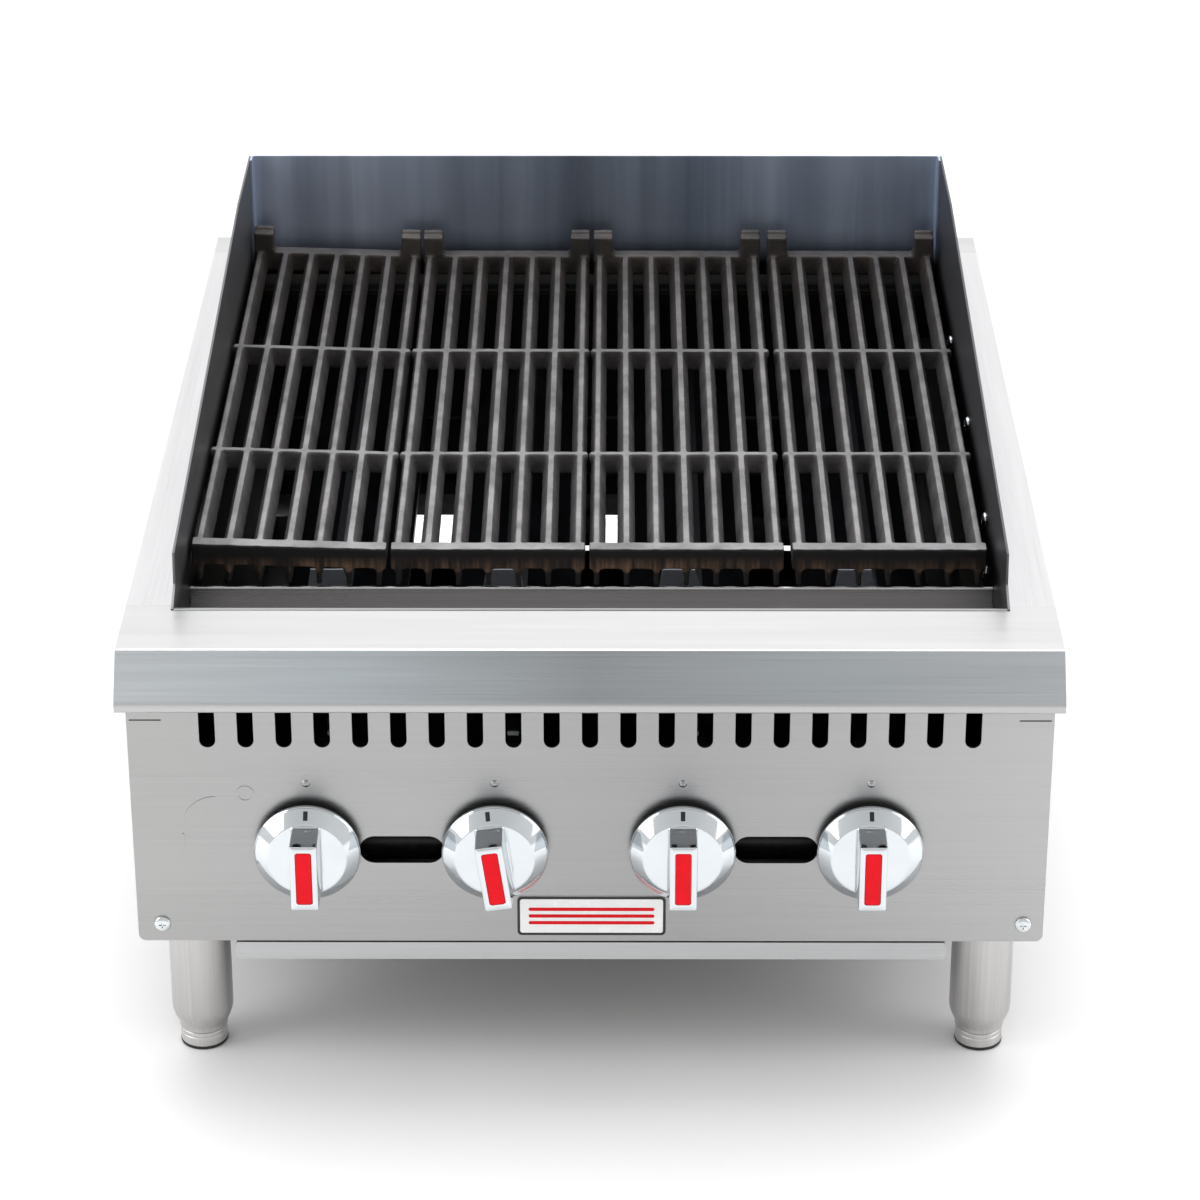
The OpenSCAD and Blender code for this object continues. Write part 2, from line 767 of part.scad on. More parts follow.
// Two screws at the front panel's lower corners, and four on each side guard, given as [y, z].
// The left guard's upper screws sit lower, out of the way of the left grate.
module pan_head_screws() color("silver") place() for (s = [-1, 1]) {
    head_h = 2.8;
    panel_at = [1.4 + s * 287.5, -212];
    highest_z = s < 0 ? -42 : 0;
    translate([panel_at[0], panel_y, panel_at[1]]) rotate([90, 0, 0]) pan_head(5.7, head_h);
    for (at = [[205, -44], [226, -14], [379, -9], [542, -13]])
        translate([s * guard_x, at[0] - (at[1] > highest_z ? 4 : 0), min(at[1], highest_z)])
            rotate([0, -90 * s, 0]) pan_head(5, head_h);
}

// ---- nodes ----

front_deck();
control_panel();
nameplate();
rear_panel();
guard_back();
drip_trough();
grate_rest_rear();
firebox_front();
firebox_rear();
base_rail_front();
base_rail_rear();
burner_rests();
gas_manifold();
supply_pipe();
gas_valves();
drip_tray();
pilot_tubes();
pan_head_screws();
for (s = SIDES) {
    side_panel(s);
    side_ledge(s);
    guard_side(s);
    firebox_side(s);
    tray_runner(s);
}
for (n = KNOBS) {
    grate(n);
    radiant(n);
    burner(n);
    air_shutter(n);
    knob(n);
    knob_insert(n);
}
for (s = LEGS) {
    leg(s);
    foot(s);
}
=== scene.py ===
"""Looks of the countertop gas charbroiler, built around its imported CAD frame."""
import json
import math

import bmesh
import bpy
from mathutils import Matrix, Vector, noise


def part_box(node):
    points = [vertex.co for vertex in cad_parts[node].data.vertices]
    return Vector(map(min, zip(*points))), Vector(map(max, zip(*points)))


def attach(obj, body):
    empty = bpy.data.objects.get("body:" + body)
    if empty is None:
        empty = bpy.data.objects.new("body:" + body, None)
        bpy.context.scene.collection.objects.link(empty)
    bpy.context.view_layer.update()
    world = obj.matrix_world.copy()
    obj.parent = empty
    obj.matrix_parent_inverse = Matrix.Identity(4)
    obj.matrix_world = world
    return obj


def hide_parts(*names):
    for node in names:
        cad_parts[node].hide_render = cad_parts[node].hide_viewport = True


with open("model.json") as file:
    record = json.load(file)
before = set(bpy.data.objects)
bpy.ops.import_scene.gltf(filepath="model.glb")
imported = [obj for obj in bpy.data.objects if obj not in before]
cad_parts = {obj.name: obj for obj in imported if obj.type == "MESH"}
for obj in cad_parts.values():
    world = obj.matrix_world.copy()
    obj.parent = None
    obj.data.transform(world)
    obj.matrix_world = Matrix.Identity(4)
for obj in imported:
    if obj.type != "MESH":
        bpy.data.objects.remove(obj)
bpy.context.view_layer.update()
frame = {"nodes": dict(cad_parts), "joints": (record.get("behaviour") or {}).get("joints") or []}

MM = 0.001
NODES = frame["nodes"]
FRAME_BODY = "charbroiler_body"
KNOBS = (1, 2, 3, 4)
LEGS = ("front_left", "front_right", "rear_left", "rear_right")

# The front edge of the deck's top and its height, from which depths and heights are counted in millimetres
RAIL_REACH = 22
RAIL_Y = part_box("front_deck")[0].y + RAIL_REACH * MM
DECK_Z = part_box("front_deck")[1].z
KNOB_AXES = {j["child"]: Vector(j["pos_m"]) for j in frame["joints"] if j["name"].startswith("knob")}
SECOND_KNOB_TURN = math.radians(8)
BAY_HALF_W = 0.2733


def at(x, y, z):
    """A point in millimetres: x, depth behind the deck's front edge, height above the deck."""
    return Vector((x * MM, RAIL_Y + y * MM, DECK_Z + z * MM))


# ---- materials ----


class Tree:
    """A material's node tree, with short ways to add to it."""

    def __init__(self, name):
        self.material = bpy.data.materials.new(name)
        self.material.use_nodes = True
        self.nodes = self.material.node_tree.nodes
        self.links = self.material.node_tree.links
        self.shader = self.nodes["Principled BSDF"]
        coordinates = self.nodes.new("ShaderNodeTexCoord")
        self.where = coordinates.outputs["Object"]

    def set(self, **values):
        for name, value in values.items():
            self.shader.inputs[name.replace("_", " ")].default_value = value

    def scaled(self, scale, offset=(0, 0, 0)):
        node = self.nodes.new("ShaderNodeMapping")
        node.inputs["Scale"].default_value = scale
        node.inputs["Location"].default_value = offset
        self.links.new(self.where, node.inputs["Vector"])
        return node.outputs["Vector"]

    def noise(self, scale, size=1.0, detail=3.0, rough=0.5, offset=(0, 0, 0)):
        node = self.nodes.new("ShaderNodeTexNoise")
        node.inputs["Scale"].default_value = size
        node.inputs["Detail"].default_value = detail
        node.inputs["Roughness"].default_value = rough
        self.links.new(self.scaled(scale, offset), node.inputs["Vector"])
        return node.outputs["Fac"]

    def ramp(self, value, stops):
        node = self.nodes.new("ShaderNodeValToRGB")
        ramp = node.color_ramp
        while len(ramp.elements) < len(stops):
            ramp.elements.new(0.5)
        for element, (position, colour) in zip(ramp.elements, stops):
            element.position = position
            element.color = colour if len(colour) == 4 else (*colour, 1)
        self.links.new(value, node.inputs["Fac"])
        return node.outputs["Color"]

    def spread(self, value, low, high, start=0.0, end=1.0):
        node = self.nodes.new("ShaderNodeMapRange")
        node.inputs["From Min"].default_value = start
        node.inputs["From Max"].default_value = end
        node.inputs["To Min"].default_value = low
        node.inputs["To Max"].default_value = high
        self.links.new(value, node.inputs["Value"])
        return node.outputs["Result"]

    def maths(self, kind, a, b):
        node = self.nodes.new("ShaderNodeMath")
        node.operation = kind
        for socket, value in zip(node.inputs, (a, b)):
            if isinstance(value, (int, float)):
                socket.default_value = value
            else:
                self.links.new(value, socket)
        return node.outputs[0]

    def mix(self, factor, a, b, kind="MIX"):
        node = self.nodes.new("ShaderNodeMix")
        node.data_type = "RGBA"
        node.blend_type = kind
        node.clamp_factor = True
        for name, value in (("Factor", factor), ("A", a), ("B", b)):
            socket = [s for s in node.inputs if s.name == name and s.enabled][0]
            if isinstance(value, (int, float)):
                socket.default_value = value
            elif isinstance(value, tuple):
                socket.default_value = (*value, 1)
            else:
                self.links.new(value, socket)
        return [s for s in node.outputs if s.enabled][0]

    def bump(self, height, strength, distance):
        node = self.nodes.new("ShaderNodeBump")
        node.inputs["Strength"].default_value = strength
        node.inputs["Distance"].default_value = distance
        self.links.new(height, node.inputs["Height"])
        self.links.new(node.outputs["Normal"], self.shader.inputs["Normal"])

    def grain(self, axis):
        """Fine scratches and broader bands that run along one axis."""
        fine = self.noise(GRAINS[axis], detail=4, rough=0.7)
        broad = self.noise(PATCHES[axis], detail=2, rough=0.6)
        return self.maths("ADD", self.maths("MULTIPLY", fine, 0.55), self.maths("MULTIPLY", broad, 0.45))

    def brush(self, colour, axis, rough, bump):
        """Makes the shader brushed metal of this colour."""
        self.link(colour, "Base Color")
        self.link(self.spread(self.grain(axis), rough[0], rough[1], 0.35, 0.65), "Roughness")
        self.set(Metallic=1.0)
        self.bump(self.noise(GRAINS[axis], detail=4, rough=0.7), bump, 0.0004)

    def link(self, value, socket):
        self.links.new(value, self.shader.inputs[socket])

    def axis(self, index):
        node = self.nodes.new("ShaderNodeSeparateXYZ")
        self.links.new(self.where, node.inputs["Vector"])
        return node.outputs[index]

    def normal(self, index):
        geometry = self.nodes.new("ShaderNodeNewGeometry")
        node = self.nodes.new("ShaderNodeSeparateXYZ")
        self.links.new(geometry.outputs["Normal"], node.inputs["Vector"])
        return node.outputs[index]


GRAINS = {"x": (6, 900, 900), "y": (900, 6, 900), "z": (900, 900, 6)}
PATCHES = {"x": (1.5, 40, 40), "y": (40, 1.5, 40), "z": (40, 40, 1.5)}


def brushed(name, light, dark, grain="x", rough=(0.26, 0.38), bump=0.06):
    """Brushed stainless steel whose fine scratches run along one axis."""
    tree = Tree(name)
    tree.brush(tree.ramp(tree.grain(grain), [(0.36, dark), (0.62, light)]), grain, rough, bump)
    return tree.material


def reflection_across_body(tree, stops):
    """A painted reflection that changes slowly from the body's left side to its right."""
    return tree.ramp(tree.spread(tree.axis(0), 0.0, 1.0, -0.305, 0.305), stops)


def finish_steel(tree, tone, grain="x", rough=(0.26, 0.38)):
    speck = tree.ramp(tree.grain(grain), [(0.36, (0.90, 0.90, 0.90)), (0.62, (1.0, 1.0, 1.0))])
    tree.brush(tree.mix(1.0, tone, speck, "MULTIPLY"), grain, rough, 0.06)
    return tree.material


def panel_steel():
    tree = Tree("panel_steel")
    # The panel's tone across the body is a painted reflection.
    return finish_steel(tree, reflection_across_body(tree, PANEL_PAINTED_REFLECTION))


def deck_steel():
    """The deck's sheet, with painted light: a lighter tone on its level top, a darker one on its upright
    lip, and a painted reflection on the rail's slope.
    """
    tree = Tree("deck_steel")
    # Painted light: the level top gets a lighter tone than the upright lip.
    lip, top = (0.50, 0.50, 0.50), (0.66, 0.66, 0.66)
    sloping = tree.spread(tree.normal(2), 0.0, 1.0, 0.2, 0.5)
    level = tree.spread(tree.normal(2), 0.0, 1.0, 0.75, 0.95)
    # The sloping faces take the painted reflection that changes across the body.
    tone = tree.mix(sloping, lip, reflection_across_body(tree, RAIL_PAINTED_REFLECTION))
    tone = tree.mix(level, tone, top)
    return finish_steel(tree, tone)


def guard_steel():
    """Brushed stainless with soft upright streaks, a painted reflection that is lighter towards both sides,
    painted shade on the side guards, and near black below the deck's top.
    """
    tree = Tree("guard_steel")
    streaks = tree.noise((24, 24, 1.0), detail=3, rough=0.55)
    tone = tree.ramp(streaks, GUARD_STREAKS)
    across = tree.spread(tree.axis(0), 0.0, 1.0, -BAY_HALF_W, BAY_HALF_W)
    rear_face = tree.spread(tree.normal(1), 0.0, 1.0, 0.3, 0.7)
    # Painted reflection across the body, lighter towards both sides; faces that look backwards take a flat
    # tone instead.
    tint = tree.mix(rear_face, tree.ramp(across, GUARD_PAINTED_REFLECTION), (0.62, 0.62, 0.62))
    tone = tree.mix(1.0, tone, tint, "MULTIPLY")
    # Painted shade: the side guards, at and beyond the bay's edge, take a dark tone in place of the
    # streaks.
    side = tree.spread(tree.maths("ABSOLUTE", tree.axis(0), 0), 1.0, 0.0, BAY_HALF_W - 0.0002, BAY_HALF_W)
    side_guard_shade = tree.ramp(across, [(0.3, (0.185, 0.187, 0.194)), (0.7, (0.130, 0.130, 0.142))])
    # Near black below the deck's top, where the guards reach down beside the grates.
    blackened = tree.spread(tree.axis(2), 1.0, 0.0, DECK_Z - 0.012, DECK_Z + 0.002)
    tone = tree.mix(blackened, tree.mix(side, side_guard_shade, tone), (0.018, 0.018, 0.020))
    speck = tree.ramp(tree.grain("z"), [(0.36, (0.95, 0.95, 0.95)), (0.62, (1.0, 1.0, 1.0))])
    tree.brush(tree.mix(1.0, tone, speck, "MULTIPLY"), "z", (0.38, 0.46), 0.03)
    return tree.material


def cast_iron():
    """Seasoned cast iron, rust-brown on the front lip, with painted light: lighter towards the front,
    darker towards the back, a painted grey sheen on its top faces, and darker still at the rear.
    """
    tree = Tree("grate_iron")
    grit = tree.noise((1, 1, 1), size=900, detail=4, rough=0.65)
    cloud = tree.noise((1, 1, 1), size=38, detail=4, rough=0.6)
    # Painted light: lighter towards the front, with painted shade darker towards the back.
    front_painted_light = tree.ramp(cloud, [(0.3, (0.060, 0.057, 0.058)), (0.7, (0.138, 0.131, 0.130))])
    back_painted_shade = tree.ramp(cloud, [(0.3, (0.027, 0.025, 0.024)), (0.7, (0.064, 0.058, 0.056))])
    depth = tree.spread(tree.axis(1), 0.0, 1.0, RAIL_Y + 0.20, RAIL_Y + 0.62)
    body = tree.mix(depth, front_painted_light, back_painted_shade)
    # Darker still towards the rear.
    back = tree.spread(tree.axis(1), 0.0, 0.8, RAIL_Y + 0.52, RAIL_Y + 0.69)
    rear_darkened = tree.ramp(cloud, [(0.3, (0.018, 0.016, 0.015)), (0.7, (0.050, 0.038, 0.032))])
    body = tree.mix(back, body, rear_darkened)
    body = rusty_lip(tree, body)
    # Painted sheen: up-facing faces are lighter grey, most at the front and fading towards the back.
    painted_top_sheen = tree.spread(tree.normal(2), 0.0, 1.0, 0.72, 0.93)
    front = tree.spread(tree.axis(1), 1.0, 0.16, RAIL_Y + 0.15, RAIL_Y + 0.70)
    painted_top_sheen = tree.maths("MULTIPLY", tree.maths("MULTIPLY", painted_top_sheen, front), tree.spread(cloud, 0.7, 1.0, 0.3, 0.6))
    top = tree.ramp(cloud, [(0.25, (0.195, 0.195, 0.20)), (0.7, (0.315, 0.315, 0.32))])
    tree.link(tree.mix(painted_top_sheen, body, top), "Base Color")
    tree.link(tree.spread(grit, 0.5, 0.72, 0.3, 0.7), "Roughness")
    tree.set(Metallic=0.5)
    tree.bump(grit, 0.5, 0.0006)
    return tree.material


def rusty_lip(tree, body):
    """Black front lips with rust-brown drips down to their lower edge, and black feet below it."""
    drip = tree.noise((190, 190, 14), detail=3, rough=0.6)
    patch = tree.noise((9, 9, 30), detail=2, rough=0.5)
    rust = tree.ramp(drip, [(0.35, (0.034, 0.020, 0.013)), (0.7, (0.20, 0.118, 0.072))])
    near_lip = tree.spread(tree.axis(1), 1.0, 0.0, RAIL_Y + 0.156, RAIL_Y + 0.159)
    low = tree.spread(tree.axis(2), 1.0, 0.0, DECK_Z - 0.0185, DECK_Z - 0.0085)
    low = tree.maths("MULTIPLY", low, tree.spread(tree.axis(2), 0.0, 1.0, DECK_Z - 0.0215, DECK_Z - 0.0195))
    low = tree.maths("MULTIPLY", low, near_lip)
    low = tree.maths("MULTIPLY", low, tree.spread(drip, 0.25, 1.0, 0.36, 0.58))
    low = tree.maths("MULTIPLY", low, tree.spread(patch, 0.35, 1.3, 0.36, 0.62))
    return tree.mix(low, tree.mix(near_lip, body, (0.007, 0.006, 0.006)), rust)


def radiant_steel():
    """Heat-blued steel, with painted light: pale on the front tabs where light comes in under the grates,
    and near black on the roofs over the burners as painted shade.
    """
    tree = Tree("radiant_steel")
    cloud = tree.noise((1, 1, 1), size=30, detail=4, rough=0.6)
    # Painted shade on the roofs and painted light on the front tabs.
    roof_painted_shade = tree.ramp(cloud, [(0.3, (0.004, 0.0045, 0.006)), (0.7, (0.012, 0.013, 0.017))])
    tab_painted_light = tree.ramp(cloud, [(0.3, (0.62, 0.65, 0.76)), (0.7, (0.80, 0.84, 0.95))])
    front = tree.spread(tree.axis(1), 1.0, 0.0, RAIL_Y + 0.2418, RAIL_Y + 0.2425)
    tree.link(tree.mix(front, roof_painted_shade, tab_painted_light), "Base Color")
    tree.link(tree.spread(cloud, 0.35, 0.5, 0.3, 0.7), "Roughness")
    tree.set(Metallic=0.35, Specular_IOR_Level=0.2)
    return tree.material


def trough_steel():
    """The drip trough's steel, with painted shade behind its hem, under the grates."""
    tree = Tree("trough_steel")
    bare_tone = tree.ramp(tree.grain("x"), [(0.36, (0.355, 0.348, 0.348)), (0.62, (0.43, 0.422, 0.422))])
    # Painted shade: near black behind the hem, under the grates' lips and feet.
    blackened = tree.spread(tree.axis(1), 0.0, 1.0, RAIL_Y + 0.1560, RAIL_Y + 0.1568)
    tree.brush(tree.mix(blackened, bare_tone, (0.02, 0.019, 0.018)), "x", (0.22, 0.32), 0.06)
    return tree.material


def tray_steel():
    """The tray's front lip is satin steel, and its inside is dark."""
    tree = Tree("tray_steel")
    lip = tree.spread(tree.axis(1), 1.0, 0.0, RAIL_Y + 0.0155, RAIL_Y + 0.017)
    bare_tone = tree.ramp(tree.grain("x"), [(0.36, (0.42, 0.425, 0.43)), (0.62, (0.50, 0.505, 0.51))])
    inside_cloud = tree.noise((1, 1, 1), size=16, detail=4, rough=0.6)
    dark_inside = tree.ramp(inside_cloud, [(0.3, (0.018, 0.016, 0.014)), (0.7, (0.06, 0.055, 0.05))])
    tree.brush(tree.mix(lip, dark_inside, bare_tone), "x", (0.28, 0.4), 0.05)
    return tree.material


def chrome(name="knob_chrome", colour=(0.665, 0.70, 0.725), rough=(0.04, 0.09)):
    tree = Tree(name)
    smear = tree.noise((1, 1, 1), size=60, detail=2)
    tree.link(tree.spread(smear, rough[0], rough[1], 0.35, 0.65), "Roughness")
    tree.link(tree.ramp(smear, [(0.3, tuple(0.96 * c for c in colour)), (0.7, colour)]), "Base Color")
    tree.set(Metallic=1.0)
    return tree.material


def plain(name, light, dark, rough=(0.35, 0.5), metallic=0.0, size=120, bump=0.1, coat=0.0, specular=0.5):
    """A finish with one tone, gently clouded and grained."""
    tree = Tree(name)
    cloud = tree.noise((1, 1, 1), size=size, detail=4, rough=0.6)
    tree.link(tree.ramp(cloud, [(0.3, dark), (0.7, light)]), "Base Color")
    tree.link(tree.spread(cloud, rough[0], rough[1], 0.3, 0.7), "Roughness")
    tree.set(Metallic=metallic, Specular_IOR_Level=specular)
    if coat:
        tree.set(Coat_Weight=coat, Coat_Roughness=0.05)
    if bump:
        tree.bump(cloud, bump, 0.0004)
    return tree.material


# Painted reflection across the rail's slope: lighter at both ends, darkest in the middle.
RAIL_PAINTED_REFLECTION = [
    (0.0, (0.63, 0.66, 0.68)),
    (0.25, (0.54, 0.585, 0.61)),
    (0.5, (0.365, 0.384, 0.397)),
    (0.75, (0.445, 0.475, 0.495)),
    (1.0, (0.54, 0.565, 0.59)),
]
GUARD_STREAKS = [(0.3, (0.40, 0.43, 0.49)), (0.52, (0.58, 0.61, 0.675)), (0.75, (0.76, 0.79, 0.85))]
# Painted reflection across the guards: lighter towards both sides, darker in the middle.
GUARD_PAINTED_REFLECTION = [(0.0, (1.0, 1.08, 1.22)), (0.5, (0.45, 0.50, 0.57)), (1.0, (0.90, 1.0, 1.15))]
# Painted reflection across the control panel: darkest a little right of its middle, lightest at its right
# end.
PANEL_PAINTED_REFLECTION = [
    (0.0, (0.40, 0.40, 0.396)),
    (0.3, (0.392, 0.392, 0.394)),
    (0.6, (0.345, 0.345, 0.349)),
    (1.0, (0.435, 0.435, 0.435)),
]


# Finishes made by plain(): light and dark tone, then the range of roughness and what else differs
PLAIN = {
    # The firebox liners are near black with little shine, as painted shade for the deep firebox.
    "liner_steel": ((0.018, 0.017, 0.016), (0.007, 0.007, 0.006), (0.7, 0.9), dict(size=25, specular=0.1)),
    "frame_steel": ((0.10, 0.10, 0.105), (0.05, 0.05, 0.053), (0.4, 0.6), dict(metallic=0.8, size=60)),
    "burner_iron": ((0.06, 0.058, 0.055), (0.028, 0.027, 0.026), (0.6, 0.8), dict(metallic=0.3, size=200)),
    "gas_pipe": ((0.05, 0.05, 0.052), (0.03, 0.03, 0.032), (0.3, 0.45), dict(metallic=0.6, size=150)),
    "valve_brass": ((0.72, 0.52, 0.22), (0.56, 0.40, 0.16), (0.22, 0.35), dict(metallic=1.0, size=90)),
    "screw_zinc": ((0.74, 0.77, 0.78), (0.60, 0.63, 0.64), (0.15, 0.28), dict(metallic=1.0, size=300)),
    "knob_red": ((0.82, 0.004, 0.014), (0.74, 0.003, 0.010), (0.45, 0.55), dict(specular=0.15)),
    "mark_black": ((0.012, 0.012, 0.013), (0.006, 0.006, 0.007), (0.4, 0.55), dict(size=200)),
    "plate_white": ((0.86, 0.86, 0.86), (0.80, 0.80, 0.80), (0.2, 0.3), dict(size=60, bump=0.02, coat=0.4)),
    "plate_red": ((0.72, 0.004, 0.012), (0.64, 0.003, 0.010), (0.4, 0.5), dict(specular=0.15)),
    "pad_rubber": ((0.016, 0.016, 0.017), (0.008, 0.008, 0.009), (0.55, 0.75), dict(size=400, bump=0.2)),
}


def make_materials():
    finishes = {
        "deck_steel": deck_steel(),
        "ledge_steel": brushed("ledge_steel", (0.73, 0.73, 0.74), (0.62, 0.62, 0.63), "y"),
        "side_steel": brushed("side_steel", (0.52, 0.52, 0.525), (0.45, 0.45, 0.455), "y"),
        "panel_steel": panel_steel(),
        "guard_steel": guard_steel(),
        "trough_steel": trough_steel(),
        "tray_steel": tray_steel(),
        "grate_iron": cast_iron(),
        "radiant_steel": radiant_steel(),
        "knob_chrome": chrome(),
        "leg_steel": brushed("leg_steel", (0.56, 0.55, 0.545), (0.425, 0.415, 0.41), "z", (0.3, 0.42)),
        "foot_steel": brushed("foot_steel", (0.64, 0.63, 0.62), (0.50, 0.49, 0.48), "z", (0.3, 0.42)),
    }
    for name, (light, dark, rough, others) in PLAIN.items():
        finishes[name] = plain(name, light, dark, rough, **others)
    return finishes


MATERIALS = make_materials()


# ---- meshes ----


def new_object(name, mesh, *finishes):
    piece = bpy.data.objects.new(name, mesh)
    bpy.context.scene.collection.objects.link(piece)
    for finish in finishes:
        mesh.materials.append(MATERIALS[finish])
    return piece


def from_bmesh(name, bm, *finishes, sharp=35):
    mesh = bpy.data.meshes.new(name)
    bmesh.ops.recalc_face_normals(bm, faces=bm.faces)
    bm.to_mesh(mesh)
    bm.free()
    mesh.polygons.foreach_set("use_smooth", [True] * len(mesh.polygons))
    mesh.set_sharp_from_angle(angle=math.radians(sharp))
    return new_object(name, mesh, *finishes)


def add_loft(bm, rings, matrix=Matrix(), capped=True):
    """Joins closed rings of equally many points into a tube, and closes its ends."""
    rows = [[bm.verts.new(matrix @ Vector(p)) for p in ring] for ring in rings]
    count = len(rows[0])
    for a, b in zip(rows, rows[1:]):
        for i in range(count):
            bm.faces.new((a[i], a[(i + 1) % count], b[(i + 1) % count], b[i]))
    if capped:
        bm.faces.new(rows[0])
        bm.faces.new(rows[-1])
    return rows


def add_lathe(bm, profile, segments=96, matrix=Matrix()):
    """Turns a profile of (radius, height) points, whose ends lie on the axis, about Z."""
    rings = []
    for radius, height in profile:
        turns = [2 * math.pi * i / segments for i in range(segments)]
        rings.append([(radius * math.cos(t), radius * math.sin(t), height) for t in turns])
    rows = []
    for (radius, height), ring in zip(profile, rings):
        if radius < 1e-9:
            rows.append([bm.verts.new(matrix @ Vector((0, 0, height)))])
        else:
            rows.append([bm.verts.new(matrix @ Vector(p)) for p in ring])
    for a, b in zip(rows, rows[1:]):
        for i in range(segments):
            j = (i + 1) % segments
            corners = [a[i % len(a)], a[j % len(a)], b[j % len(b)], b[i % len(b)]]
            bm.faces.new(list(dict.fromkeys(corners)))


def softened(points, radius, steps=3):
    """An open outline whose inner corners are rounded."""
    result = [points[0]]
    for before, corner, after in zip(points, points[1:], points[2:]):
        c = Vector(corner)
        a, b = Vector(before) - c, Vector(after) - c
        reach = min(radius, a.length * 0.45, b.length * 0.45)
        start, end = c + a.normalized() * reach, c + b.normalized() * reach
        for i in range(steps + 1):
            t = i / steps
            p = start * (1 - t) ** 2 + c * 2 * t * (1 - t) + end * t ** 2
            result.append(tuple(p))
    result.append(points[-1])
    return result


def rounded_outline(width, height, radius, steps=6):
    points = []
    for cx, cy, start in ((1, 1, 0), (-1, 1, 90), (-1, -1, 180), (1, -1, 270)):
        for i in range(steps + 1):
            turn = math.radians(start + 90 * i / steps)
            x = cx * (width / 2 - radius) + radius * math.cos(turn)
            y = cy * (height / 2 - radius) + radius * math.sin(turn)
            points.append((x, y))
    return points


def raised(outline, z):
    return [(x, y, z) for x, y in outline]


def keep(piece, body, slot, *replaced):
    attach(piece, body)
    if replaced:
        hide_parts(*replaced)
    return piece


def apply_modifiers(piece):
    graph = bpy.context.evaluated_depsgraph_get()
    mesh = bpy.data.meshes.new_from_object(piece.evaluated_get(graph))
    piece.modifiers.clear()
    piece.data = mesh


# ---- grates ----

GRATE_L = 531
GRATE_HALF_W = 66
LIP_H = 15.5
LUG_W = 15.5
LUG_D = 13
LIP_D = 11
CROSS_BAR_Y = (153, 334)
GRATE_FRONT_Y = 155
FOOT_Z = -31.1
GRATE_X = (-205.7, -70.1, 64.7, 202.3)
BAR_PITCH = 20.4
BAR_H = 28.1
GRATE_SLOPE = math.radians(1)
LEFT_ROLL = math.radians(1.7)


def add_prism(bm, outline, start, end, along):
    """A closed outline drawn out between two places along an axis, 0 for x or 1 for y."""
    def place(p, d):
        return (d, p[0], p[1]) if along == 0 else (p[0], d, p[1])
    add_loft(bm, [[place(p, d) for p in outline] for d in (start, end)])


def add_block(bm, x, y, z):
    add_prism(bm, [(y[0], z[0]), (y[1], z[0]), (y[1], z[1]), (y[0], z[1])], x[0], x[1], 0)


def bar_section():
    side = [(2.1, 0), (6.2, -13.5), (5.8, -15), (2.5, -16), (1.8, -20), (1.7, -BAR_H)]
    return side + [(-x, z) for x, z in reversed(side)]


def grate_solids():
    bm = bmesh.new()
    for i in range(7):
        x = (i - 3) * BAR_PITCH
        inside = [(max(-GRATE_HALF_W, min(GRATE_HALF_W, x + px)), z) for px, z in bar_section()]
        add_prism(bm, inside, 0.3, GRATE_L - 1.5, 1)
    lip = [(0, -1), (1, 0), (LIP_D, 0), (LIP_D, -LIP_H), (1.5, -LIP_H), (0, 1 - LIP_H)]
    add_prism(bm, lip, -GRATE_HALF_W, GRATE_HALF_W, 0)
    add_block(bm, (-GRATE_HALF_W, GRATE_HALF_W), (GRATE_L - LUG_D, GRATE_L), (-16, 0))
    for y in CROSS_BAR_Y:
        add_block(bm, (-GRATE_HALF_W, GRATE_HALF_W), (y - 2.5, y + 2.5), (-15.5, 0))
        add_block(bm, (-GRATE_HALF_W - 1.2, GRATE_HALF_W + 1.2), (y - 2, y + 2), (-5, -0.5))
    for s in (-1, 1):
        inner = GRATE_HALF_W - LUG_W
        flare = [(inner, 3), (inner - 1.5, 0), (inner - 1.5, -2)]
        lug = [(GRATE_HALF_W, -2), (GRATE_HALF_W, 15.5), (inner, 15.5), *flare]
        add_prism(bm, [(s * x, z) for x, z in lug], GRATE_L - LUG_D, GRATE_L, 1)
        x = sorted((s * inner, s * GRATE_HALF_W))
        add_block(bm, x, (GRATE_L - 5, GRATE_L), (14, 18))
    bmesh.ops.scale(bm, vec=(MM, MM, MM), verts=bm.verts)
    return bm


def roughen(mesh, depth, size):
    """Moves the surface in and out a little, as a sand mould leaves it."""
    normals = [Vector(n.vector) for n in mesh.vertex_normals]
    places = [v.co.copy() for v in mesh.vertices]
    moved = []
    for place, normal in zip(places, normals):
        moved.extend(place + normal * depth * noise.fractal(place * size, 0.6, 2.0, 3))
    mesh.vertices.foreach_set("co", moved)
    mesh.update()


def grate_mesh():
    piece = from_bmesh("grate_shape", grate_solids())
    remesh = piece.modifiers.new("join", "REMESH")
    remesh.mode = "VOXEL"
    remesh.voxel_size = 0.95 * MM
    smooth = piece.modifiers.new("soften", "SMOOTH")
    smooth.factor = 0.5
    smooth.iterations = 2
    thin = piece.modifiers.new("thin", "DECIMATE")
    thin.ratio = 0.22
    apply_modifiers(piece)
    mesh = piece.data
    bpy.data.objects.remove(piece)
    roughen(mesh, 0.00022, 140)
    mesh.polygons.foreach_set("use_smooth", [True] * len(mesh.polygons))
    return mesh


def grate_place(n):
    roll = LEFT_ROLL if n == 1 else 0
    x = GRATE_X[n - 1]
    foot_x = x + 3 * BAR_PITCH
    turn = Matrix.Rotation(roll, 4, "Y") @ Matrix.Rotation(GRATE_SLOPE, 4, "X")
    lift = Matrix.Translation(Vector((x - foot_x, 0, BAR_H)) * MM)
    return Matrix.Translation(at(foot_x, GRATE_FRONT_Y, FOOT_Z)) @ turn @ lift


